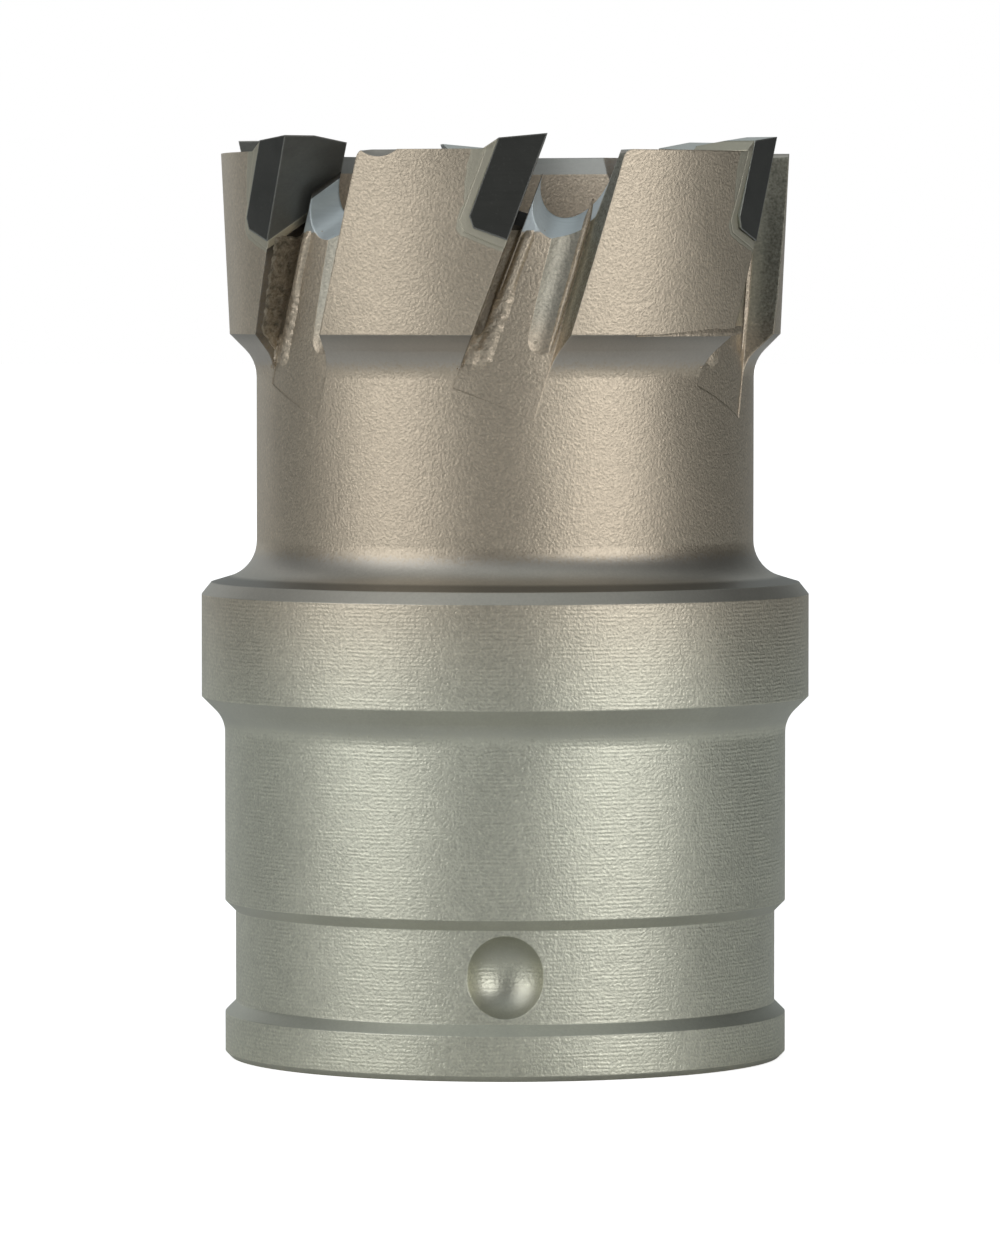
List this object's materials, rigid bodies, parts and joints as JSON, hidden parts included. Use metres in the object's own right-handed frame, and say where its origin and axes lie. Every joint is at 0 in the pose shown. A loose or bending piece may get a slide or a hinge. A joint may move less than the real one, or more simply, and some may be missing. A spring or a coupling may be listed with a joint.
{
  "type": "hole cutter",
  "caption": "Carbide-tipped annular hole cutter for metal, with a fluted crown, a flange and a quick-change shank with a locking groove and ball dimples.",
  "frame": {"origin": "on the cutter's axis, in the plane of the shank's end face", "axes": "+Z along the axis from the shank to the teeth, -Y towards the front locking dimple"},
  "size_m": [0.0236, 0.0236, 0.0355],
  "materials": {
    "plated_steel": "sand-blasted and plated, satin champagne",
    "carbide": "ground tungsten carbide, dark satin",
    "braze": "bare braze alloy, dull olive"
  },
  "bodies": {
    "root": {"cutter_body": "plated_steel", "carbide_tip_1": "carbide", "carbide_tip_2": "carbide", "carbide_tip_3": "carbide", "carbide_tip_4": "carbide", "carbide_tip_5": "carbide", "carbide_tip_6": "carbide", "braze_seam_1": "braze", "braze_seam_2": "braze", "braze_seam_3": "braze", "braze_seam_4": "braze", "braze_seam_5": "braze", "braze_seam_6": "braze"}
  },
  "joints": []
}
